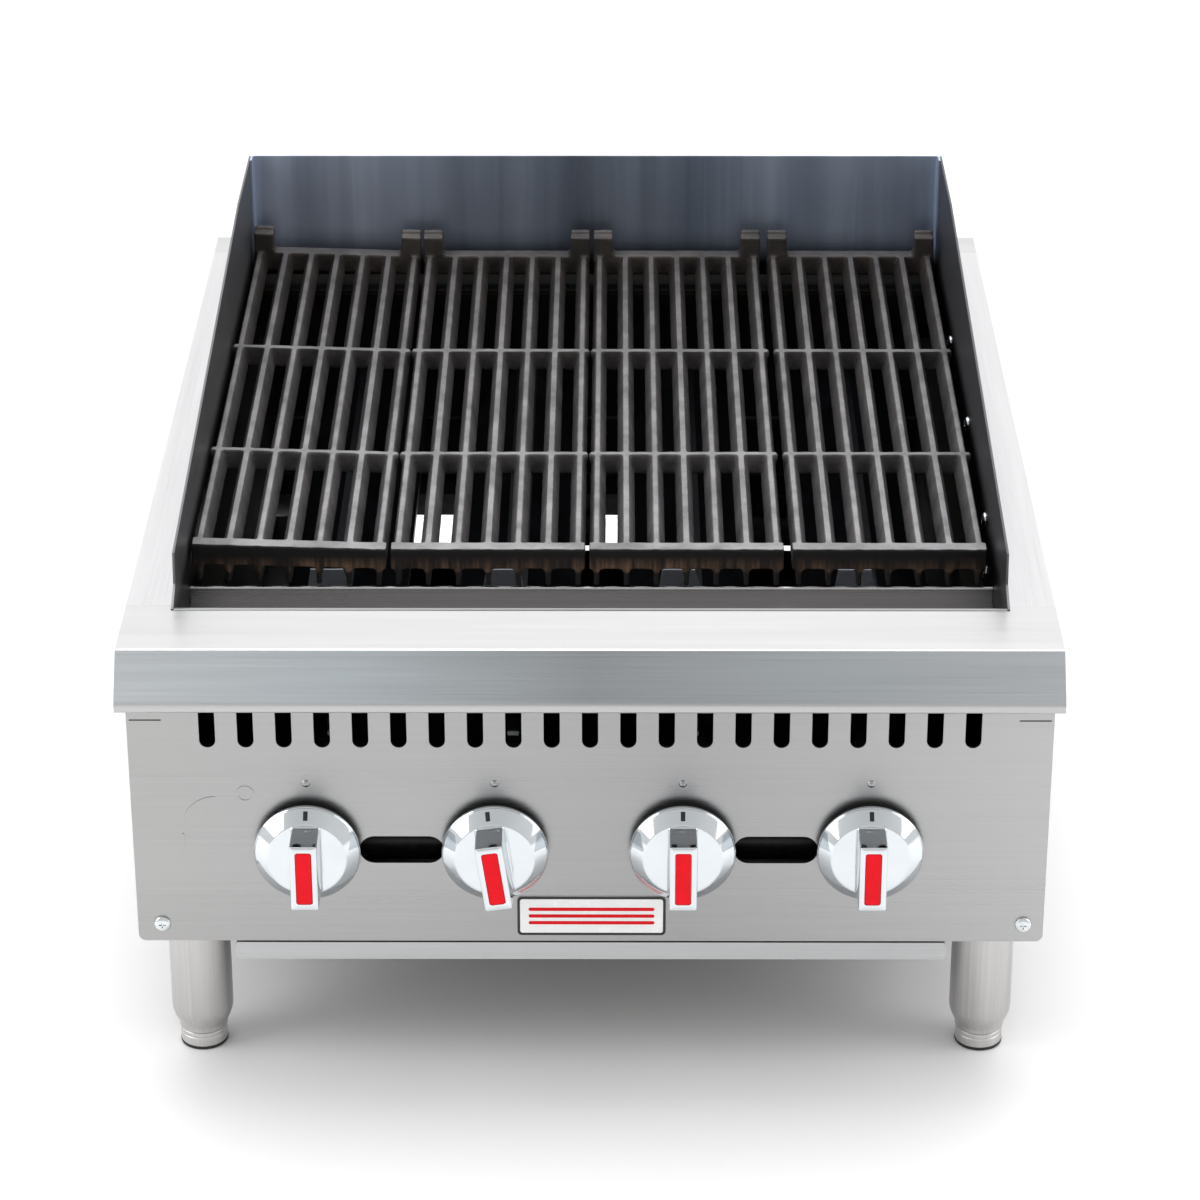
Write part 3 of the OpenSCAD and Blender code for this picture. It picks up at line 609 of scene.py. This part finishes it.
def make_grates():
    shape = grate_mesh()
    for n in KNOBS:
        mesh = shape.copy()
        mesh.transform(grate_place(n))
        piece = new_object(f"cast_grate_{n}", mesh, "grate_iron")
        keep(piece, f"cooking_grate_{n}", "grate_iron", f"grate_{n}")


# ---- knobs ----

KNOB_R = 35.2
KNOB_BACK = 6
KNOB_TOP = 42.3
POCKET = 2
INSERT_W, INSERT_L = 10.4, 38.4
# The skirt's slope, from its rim to its face, as (radius, height)
SLOPE = ((34.3, 9.4), (26.3, 16.8))


def knob_place(n):
    turn = SECOND_KNOB_TURN if n == 2 else 0
    upright = Matrix.Rotation(math.pi / 2, 4, "X") @ Matrix.Rotation(turn, 4, "Z")
    return Matrix.Translation(KNOB_AXES[f"control_knob_{n}"]) @ upright @ Matrix.Diagonal((MM, MM, MM, 1))


def add_skirt(bm, matrix):
    rim = [(34.2, KNOB_BACK), (KNOB_R, 6.5), (KNOB_R, 8.3), (34.6, 8.9)]
    profile = [(0, KNOB_BACK), *rim, *SLOPE, (25.0, 17.0), (0, 17.0)]
    add_lathe(bm, softened(profile, 0.9, 4), 128, matrix)


def add_handle(bm, matrix):
    """The bar across the knob, with a foot that flares into the face and a pocket in its top."""
    rings = [raised(rounded_outline(21.0, 50.5, 2.0), 16.6)]
    for grow, z in ((1.0, 17.15), (0.35, 17.7), (0.0, 18.8)):
        rings.append(raised(rounded_outline(18 + 2 * grow, 47.5 + 2 * grow, 1.2 + grow), z))
    for inset, z in ((0.0, KNOB_TOP - 0.7), (0.18, KNOB_TOP - 0.3), (0.6, KNOB_TOP)):
        rings.append(raised(rounded_outline(18 - 2 * inset, 47.5 - 2 * inset, 1.2), z))
    for grow, z in ((0.5, KNOB_TOP), (0.1, KNOB_TOP - 0.25), (0.0, KNOB_TOP - POCKET)):
        rings.append(raised(rounded_outline(INSERT_W + grow, INSERT_L + grow, 1.5 + grow / 2), z))
    add_loft(bm, rings, matrix)


def add_stem(bm, matrix):
    end, top = -11.7, KNOB_BACK + 0.2
    add_lathe(bm, [(0, end), (3.6, end), (4, end + 0.5), (4, top), (0, top)], 32, matrix)


def make_insert(n, matrix):
    bm = bmesh.new()
    rings = []
    for inset, sunk in ((0.1, POCKET), (0.1, 0.35), (0.3, 0.08), (0.9, 0)):
        z = KNOB_TOP - sunk
        rings.append(raised(rounded_outline(INSERT_W - 2 * inset, INSERT_L - 2 * inset, 1.6), z))
    add_loft(bm, rings, matrix)
    piece = from_bmesh(f"knob_red_insert_{n}", bm, "knob_red", sharp=50)
    keep(piece, f"control_knob_{n}", "knob_red", f"knob_insert_{n}")


def make_mark(n, matrix):
    """The black index line on the skirt's slope."""
    bm = bmesh.new()
    low, high = (Vector(p) for p in SLOPE)
    slope = (high - low).normalized()
    out = Vector((slope.y, -slope.x))
    middle = (low + high) / 2 - slope * 0.4
    rings = []
    for lift, inset in ((-0.3, 0.0), (0.10, 0.0), (0.16, 0.12)):
        ring = []
        for x, d in rounded_outline(3.0 - 2 * inset, 6.4 - 2 * inset, 0.4, 3):
            p = middle + slope * d + out * lift
            ring.append((x, p.x, p.y))
        rings.append(ring)
    add_loft(bm, rings, matrix)
    piece = from_bmesh(f"knob_mark_{n}", bm, "mark_black")
    keep(piece, f"control_knob_{n}", None)


def make_hollow_shade(n, matrix):
    """A black disc behind the skirt, painted shade that stands in for the dark hollow inside the knob's
    back.
    """
    bm = bmesh.new()
    add_lathe(bm, [(0, 3.4), (33.0, 3.4), (33.6, 3.9), (33.6, 6.2), (0, 6.2)], 96, matrix)
    piece = from_bmesh(f"knob_hollow_shade_{n}", bm, "mark_black", sharp=40)
    keep(piece, f"control_knob_{n}", None)


def make_knobs():
    for n in KNOBS:
        matrix = knob_place(n)
        bm = bmesh.new()
        add_skirt(bm, matrix)
        add_handle(bm, matrix)
        add_stem(bm, matrix)
        piece = from_bmesh(f"chrome_knob_{n}", bm, "knob_chrome", sharp=40)
        keep(piece, f"control_knob_{n}", "knob_chrome", f"knob_{n}")
        make_insert(n, matrix)
        make_mark(n, matrix)
        make_hollow_shade(n, matrix)


# ---- legs and feet ----


def middle_of(node):
    low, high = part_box(node)
    return (low + high) / 2


def leg_place(name):
    centre = middle_of(f"leg_{name}")
    return Matrix.Translation((centre.x, centre.y, DECK_Z)) @ Matrix.Diagonal((MM, MM, MM, 1))


def make_leg(name):
    bm = bmesh.new()
    profile = [
        (0, -225.3), (21, -225.3), (21, -301), (20.6, -304.5), (19.4, -308), (18.3, -310.6), (17.2, -313),
        (16.6, -315), (16.6, -318), (8.3, -318), (8.3, -231.3), (0, -231.3),
    ]
    add_lathe(bm, softened(profile, 1.5, 4), 96, leg_place(name))
    piece = from_bmesh(f"tube_leg_{name}", bm, "leg_steel", sharp=50)
    keep(piece, FRAME_BODY, "leg_steel", f"leg_{name}")


def make_foot(name):
    bm = bmesh.new()
    profile = [
        (0, -264), (7.2, -264), (8, -265.5), (8, -318.2), (15.4, -318.3), (15.9, -318.9), (15.9, -321.4),
        (15.6, -321.7), (15.6, -322.1), (16.0, -322.5), (16.0, -328.6), (0, -328.6),
    ]
    add_lathe(bm, softened(profile, 0.35, 3), 96, leg_place(name))
    piece = from_bmesh(f"steel_foot_{name}", bm, "foot_steel", sharp=50)
    keep(piece, f"foot_pad_{name}", "foot_steel", f"foot_{name}")
    bm = bmesh.new()
    side = [(15.7, -328.4), (16.2, -328.7), (16.3, -329.3), (16.1, -330.6), (15.4, -331)]
    profile = [(0, -328.4), *side, (0, -331)]
    add_lathe(bm, softened(profile, 0.5, 3), 96, leg_place(name))
    piece = from_bmesh(f"foot_rubber_{name}", bm, "pad_rubber", sharp=50)
    keep(piece, f"foot_pad_{name}", None)


# ---- plates and screws ----


def add_plate(bm, centre, width, height, back, front, radius, bevel=0.12):
    """A flat plate on the panel, from depth back to depth front, with softened edges."""
    rings = []
    for inset, y in ((0, back), (0, front + bevel), (bevel, front)):
        outline = rounded_outline(width - 2 * inset, height - 2 * inset, max(radius - inset, 0.05), 5)
        rings.append([at(centre[0] + x, y, centre[1] + z) for x, z in outline])
    add_loft(bm, rings)


def make_nameplate():
    """A white plate with a black border line and plain red stripes in place of any name."""
    centre = (0.7, -205.6)
    bm = bmesh.new()
    add_plate(bm, centre, 99, 29.6, 12.0, 11.35, 3)
    white = from_bmesh("nameplate_face", bm, "plate_white")
    keep(white, FRAME_BODY, "nameplate", "nameplate")
    bm = bmesh.new()
    rings = []
    for inset, y in ((0.0, 11.5), (0.0, 11.22), (1.8, 11.22), (1.8, 11.5)):
        outline = rounded_outline(99 - 2 * inset, 29.6 - 2 * inset, 3 - inset * 0.7, 5)
        rings.append([at(centre[0] + x, y, centre[1] + z) for x, z in outline])
    rows = add_loft(bm, rings, capped=False)
    for i in range(len(rows[0])):
        j = (i + 1) % len(rows[0])
        bm.faces.new((rows[-1][i], rows[-1][j], rows[0][j], rows[0][i]))
    border = from_bmesh("nameplate_border", bm, "mark_black")
    keep(border, FRAME_BODY, "nameplate")
    bm = bmesh.new()
    for z in (5.2, 0, -5.2):
        add_plate(bm, (centre[0], centre[1] + z), 84, 2.6, 11.4, 11.24, 1.2, 0.05)
    stripes = from_bmesh("nameplate_stripes", bm, "plate_red")
    keep(stripes, FRAME_BODY, "nameplate")


def add_screw(bm, matrix):
    """A pan head with a cross recess."""
    segments = 48
    profile = [(0.0, 0.0), (5.0, 0.0), (5.0, 0.7), (4.85, 1.3), (4.3, 2.0), (3.4, 2.5), (2.4, 2.75)]
    rows = []
    turns = [2 * math.pi * i / segments for i in range(segments)]
    for radius, height in profile[1:]:
        ring = [(radius * math.cos(t), radius * math.sin(t), height) for t in turns]
        rows.append([bm.verts.new(matrix @ Vector(p)) for p in ring])
    for a, b in zip(rows, rows[1:]):
        for i in range(segments):
            j = (i + 1) % segments
            bm.faces.new((a[i], a[j], b[j], b[i]))
    bm.faces.new(rows[0])
    last = rows[-1]
    for depth, narrow in ((2.75, 1.0), (1.5, 0.8)):
        row = []
        for t in turns:
            arm = max(abs(math.cos(t)), abs(math.sin(t)))
            side = min(abs(math.cos(t)), abs(math.sin(t)))
            reach = min(2.1 * narrow, 0.42 * narrow / max(side, 1e-6))
            reach = max(reach, 0.6 * narrow) if arm < 0.999 else 2.1 * narrow
            row.append(bm.verts.new(matrix @ Vector((reach * math.cos(t), reach * math.sin(t), depth))))
        for i in range(segments):
            j = (i + 1) % segments
            bm.faces.new((last[i], last[j], row[j], row[i]))
        last = row
    bm.faces.new(last)


# The side guards' screws as (depth, height), with -1 for the left guard
GUARD_SCREWS = {
    -1: ((205, -44), (222, -42), (375, -42), (538, -42)),
    1: ((205, -44), (226, -14), (379, -9), (542, -13)),
}


def make_screws():
    bm = bmesh.new()
    scale = Matrix.Diagonal((MM, MM, MM, 1))
    for s in (-1, 1):
        panel = Matrix.Translation(at(s * 287.5 + 1.4, 12, -212)) @ Matrix.Rotation(math.pi / 2, 4, "X")
        add_screw(bm, panel @ Matrix.Diagonal((1.14 * MM, 1.14 * MM, MM, 1)))
        for y, z in GUARD_SCREWS[s]:
            turn = Matrix.Rotation(-s * math.pi / 2, 4, "Y") @ Matrix.Rotation(0.4 + y, 4, "Z")
            add_screw(bm, Matrix.Translation(at(s * 273.3, y, z)) @ turn @ scale)
    piece = from_bmesh("panel_screws", bm, "screw_zinc", sharp=40)
    keep(piece, FRAME_BODY, "screw_zinc", "pan_head_screws")


# ---- carried-over nodes ----

CARRIED = {
    "deck_steel": ["front_deck", "rear_panel"],
    "ledge_steel": ["side_ledge_left", "side_ledge_right"],
    "side_steel": ["side_panel_left", "side_panel_right"],
    "panel_steel": ["control_panel"],
    "guard_steel": ["guard_back", "guard_left", "guard_right"],
    "trough_steel": ["drip_trough"],
    "liner_steel": ["grate_rest_rear", "firebox_front", "firebox_rear", "burner_rests",
                    "firebox_left", "firebox_right"],
    "frame_steel": ["base_rail_front", "base_rail_rear", "tray_runner_left", "tray_runner_right"],
    "gas_pipe": ["gas_manifold", "supply_pipe"],
    "valve_brass": ["gas_valves"],
    "tray_steel": ["drip_tray"],
    "screw_zinc": ["pilot_tubes"] + [f"air_shutter_{n}" for n in KNOBS],
    "radiant_steel": [f"radiant_{n}" for n in KNOBS],
    "burner_iron": [f"burner_{n}" for n in KNOBS],
}
EDGE = {"deck_steel": 0.35, "panel_steel": 0.3, "guard_steel": 0.4, "tray_steel": 0.35}


def finish_carried():
    for finish, names in CARRIED.items():
        for name in names:
            node = NODES[name]
            node.data.materials.clear()
            node.data.materials.append(MATERIALS[finish])
            node.data.polygons.foreach_set("material_index", [0] * len(node.data.polygons))
            bevel = node.modifiers.new("edges", "BEVEL")
            bevel.width = EDGE.get(finish, 0.3) * MM
            bevel.segments = 2
            bevel.limit_method = "ANGLE"
            bevel.angle_limit = math.radians(50)
            bevel.harden_normals = True


# ---- stage ----


def make_floor():
    bm = bmesh.new()
    reach = 6
    corners = [(-reach, -reach), (reach, -reach), (reach, reach), (-reach, reach)]
    bm.faces.new([bm.verts.new((x, y, 0)) for x, y in corners])
    tree = Tree("pale_floor")
    tree.set(Base_Color=(0.93, 0.93, 0.93, 1), Roughness=0.6)
    MATERIALS["pale_floor"] = tree.material
    floor = from_bmesh("floor", bm, "pale_floor")


def make_world():
    """A white studio, brightest low down behind the object and a little dimmer above the camera."""
    world = bpy.data.worlds.new("studio")
    world.use_nodes = True
    bpy.context.scene.world = world
    nodes, links = world.node_tree.nodes, world.node_tree.links

    def spread(value, low, high, start, end):
        node = nodes.new("ShaderNodeMapRange")
        node.interpolation_type = "SMOOTHSTEP"
        for name, number in (("From Min", start), ("From Max", end), ("To Min", low), ("To Max", high)):
            node.inputs[name].default_value = number
        links.new(value, node.inputs["Value"])
        return node.outputs["Result"]

    axes = nodes.new("ShaderNodeSeparateXYZ")
    links.new(nodes.new("ShaderNodeTexCoord").outputs["Generated"], axes.inputs["Vector"])
    back = spread(axes.outputs["Y"], 0.80, 1.2, -0.7, 0.5)
    high = spread(axes.outputs["Z"], 1.0, 0.8, 0.5, 1.0)
    product = nodes.new("ShaderNodeMath")
    product.operation = "MULTIPLY"
    links.new(back, product.inputs[0])
    links.new(high, product.inputs[1])
    links.new(product.outputs[0], nodes["Background"].inputs["Strength"])
    nodes["Background"].inputs["Color"].default_value = (1, 1, 1, 1)


def make_light(name, place, target, size, power, colour=(1, 1, 1)):
    data = bpy.data.lights.new(name, "AREA")
    data.shape = "RECTANGLE"
    data.size, data.size_y = size
    data.energy = power
    data.color = colour
    light = bpy.data.objects.new(name, data)
    bpy.context.scene.collection.objects.link(light)
    light.location = place
    light.rotation_euler = (Vector(target) - Vector(place)).to_track_quat("-Z", "Y").to_euler()


def make_lights():
    middle = (0, 0, 0.25)
    make_light("top_box", (0, 0.3, 2.2), middle, (2.2, 1.6), 30)
    make_light("left_box", (-2.0, -0.9, 1.3), middle, (1.2, 1.6), 16)
    make_light("right_box", (2.0, -0.6, 1.2), middle, (1.2, 1.6), 12)


def make_camera():
    data = bpy.data.cameras.new("camera")
    data.sensor_width = 36
    data.lens = 118.1
    data.clip_start, data.clip_end = 0.05, 50
    camera = bpy.data.objects.new("camera", data)
    bpy.context.scene.collection.objects.link(camera)
    pitch, yaw, roll = (math.radians(a) for a in (26.426, 0.261, -0.060))
    turn = (
        Matrix.Rotation(roll, 4, "Y") @ Matrix.Rotation(-pitch, 4, "X")
        @ Matrix.Rotation(yaw, 4, "Z") @ Matrix.Rotation(math.pi / 2, 4, "X")
    )
    camera.matrix_world = Matrix.Translation(at(16.9, -2247.8, 1152.7)) @ turn
    bpy.context.scene.camera = camera


make_camera()
make_world()
make_lights()
make_floor()
make_grates()
make_knobs()
for leg in LEGS:
    make_leg(leg)
    make_foot(leg)
make_nameplate()
make_screws()
finish_carried()
bpy.context.scene.view_settings.view_transform = "Standard"
